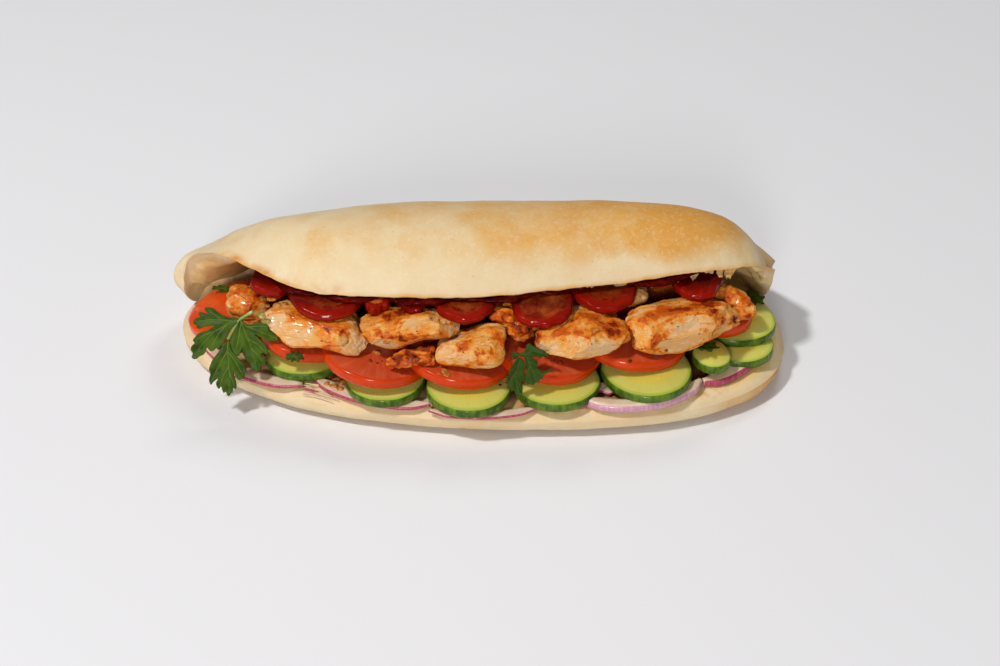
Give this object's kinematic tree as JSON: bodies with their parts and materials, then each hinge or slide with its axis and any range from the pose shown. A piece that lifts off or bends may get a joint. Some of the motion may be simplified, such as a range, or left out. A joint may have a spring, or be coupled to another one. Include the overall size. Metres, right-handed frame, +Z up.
{
  "type": "filled flatbread sandwich",
  "caption": "Long oval flatbread folded open along its front, filled with red onion, cucumber, tomato, grilled chicken and parsley.",
  "frame": {"origin": "the middle of the flat underside that the loaf rests on, near the middle of its length and width", "axes": "+Z up, X along the loaf, the open side with the filling towards -Y, the hinged back towards +Y"},
  "size_m": [0.2733, 0.1472, 0.0717],
  "materials": {
    "bread": "baked, pale cream crust with golden patches, matte",
    "red_onion": "moist, white to lilac flesh with purple skin edges",
    "cucumber": "moist, pale yellow-green flesh and dark green skin",
    "tomato": "wet, red flesh and skin",
    "sauced_tomato": "wet, dark red slices in a clear red sauce",
    "grilled_chicken": "juicy, pale meat with orange seasoning and brown sear",
    "parsley": "fresh dark green leaves with paler stems"
  },
  "bodies": {
    "root": {"bread": "bread", "chicken_1": "grilled_chicken", "chicken_10": "grilled_chicken", "chicken_11": "grilled_chicken", "chicken_2": "grilled_chicken", "chicken_3": "grilled_chicken", "chicken_4": "grilled_chicken", "chicken_5": "grilled_chicken", "chicken_6": "grilled_chicken", "chicken_7": "grilled_chicken", "chicken_8": "grilled_chicken", "chicken_9": "grilled_chicken", "chicken_bed": "grilled_chicken", "cucumber_1": "cucumber", "cucumber_2": "cucumber", "cucumber_3": "cucumber", "cucumber_4": "cucumber", "cucumber_5": "cucumber", "cucumber_6": "cucumber", "cucumber_7": "cucumber", "cucumber_8": "cucumber", "onion_1": "red_onion", "onion_2": "red_onion", "onion_3": "red_onion", "onion_4": "red_onion", "onion_5": "red_onion", "onion_6": "red_onion", "onion_7": "red_onion", "onion_8": "red_onion", "parsley_1": "parsley", "parsley_2": "parsley", "parsley_3": "parsley", "parsley_4": "parsley", "parsley_5": "parsley", "parsley_6": "parsley", "tomato_1": "tomato", "tomato_2": "tomato", "tomato_3": "tomato", "tomato_4": "tomato", "tomato_5": "tomato", "tomato_6": "tomato", "tomato_7": "tomato", "upper_tomato_1": "sauced_tomato", "upper_tomato_10": "sauced_tomato", "upper_tomato_2": "sauced_tomato", "upper_tomato_3": "sauced_tomato", "upper_tomato_4": "sauced_tomato", "upper_tomato_5": "sauced_tomato", "upper_tomato_6": "sauced_tomato", "upper_tomato_7": "sauced_tomato", "upper_tomato_8": "sauced_tomato", "upper_tomato_9": "sauced_tomato"}
  },
  "joints": []
}
